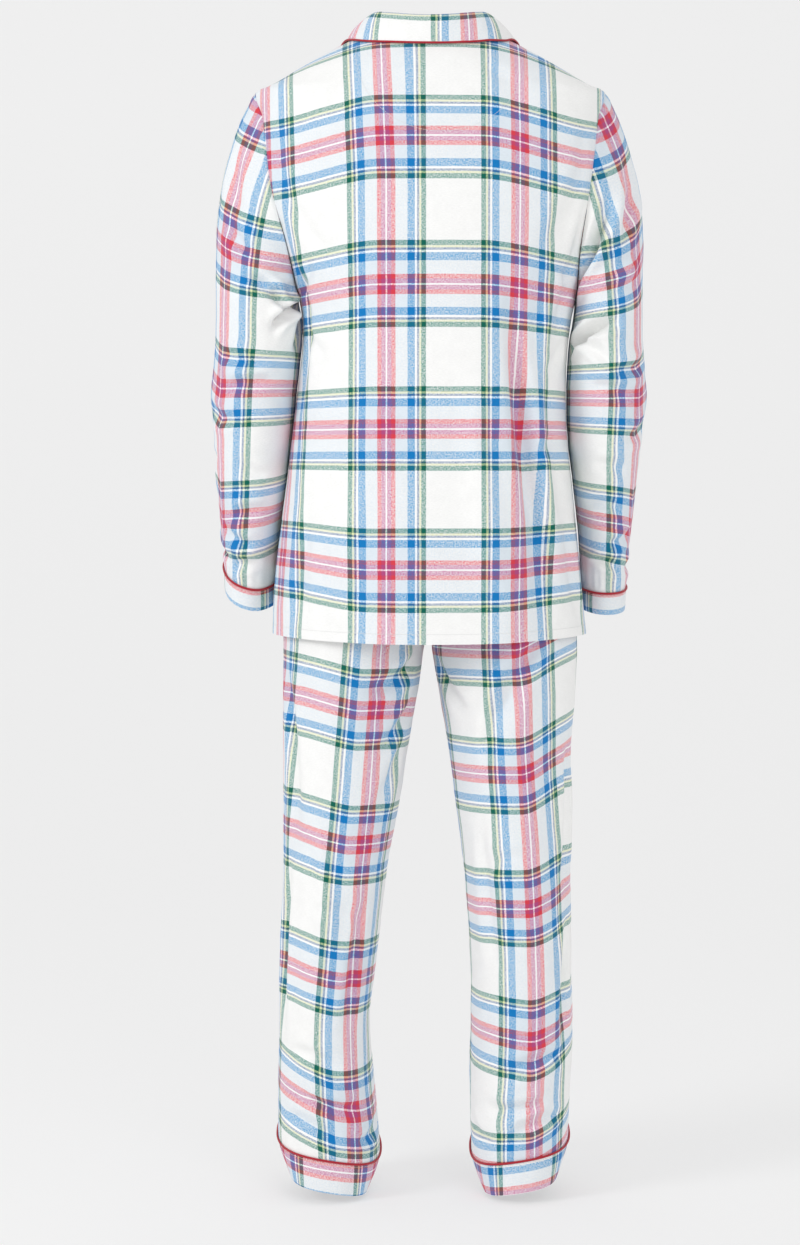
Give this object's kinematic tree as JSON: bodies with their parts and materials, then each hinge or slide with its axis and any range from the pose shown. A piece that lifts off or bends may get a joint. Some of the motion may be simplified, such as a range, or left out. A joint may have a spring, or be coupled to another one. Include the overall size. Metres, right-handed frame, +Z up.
{
  "type": "pyjama set",
  "caption": "Long-sleeved plaid pyjama shirt with a turned, piped collar over matching straight trousers, in hollow worn form with open neck, cuffs and legs.",
  "frame": {"origin": "middle of the neck opening, level with the upper ends of the shoulder seams", "axes": "+Z up, +Y out of the wearer's back, +X to the wearer's left"},
  "size_m": [0.5633, 0.294, 1.5169],
  "materials": {
    "plaid_cloth": "brushed cotton twill, white with blue, red, green and yellow checks, matt with a fine nap",
    "piping": "crimson woven cotton cord, matt",
    "button": "satin off-white plastic"
  },
  "bodies": {
    "root": {"shirt_back": "plaid_cloth", "shirt_front_left": "plaid_cloth", "shirt_front_right": "plaid_cloth", "lapel_left": "plaid_cloth", "lapel_right": "plaid_cloth", "collar": "plaid_cloth", "sleeve_left": "plaid_cloth", "sleeve_right": "plaid_cloth", "cuff_left": "plaid_cloth", "cuff_right": "plaid_cloth", "waistband": "plaid_cloth", "trouser_back_left": "plaid_cloth", "trouser_back_right": "plaid_cloth", "trouser_front_left": "plaid_cloth", "trouser_front_right": "plaid_cloth", "hem_band_left": "plaid_cloth", "hem_band_right": "plaid_cloth", "collar_piping": "piping", "cuff_piping_left": "piping", "cuff_piping_right": "piping", "hem_piping_left": "piping", "hem_piping_right": "piping", "button_1": "button", "button_2": "button", "button_3": "button", "button_4": "button", "button_5": "button"}
  },
  "joints": []
}
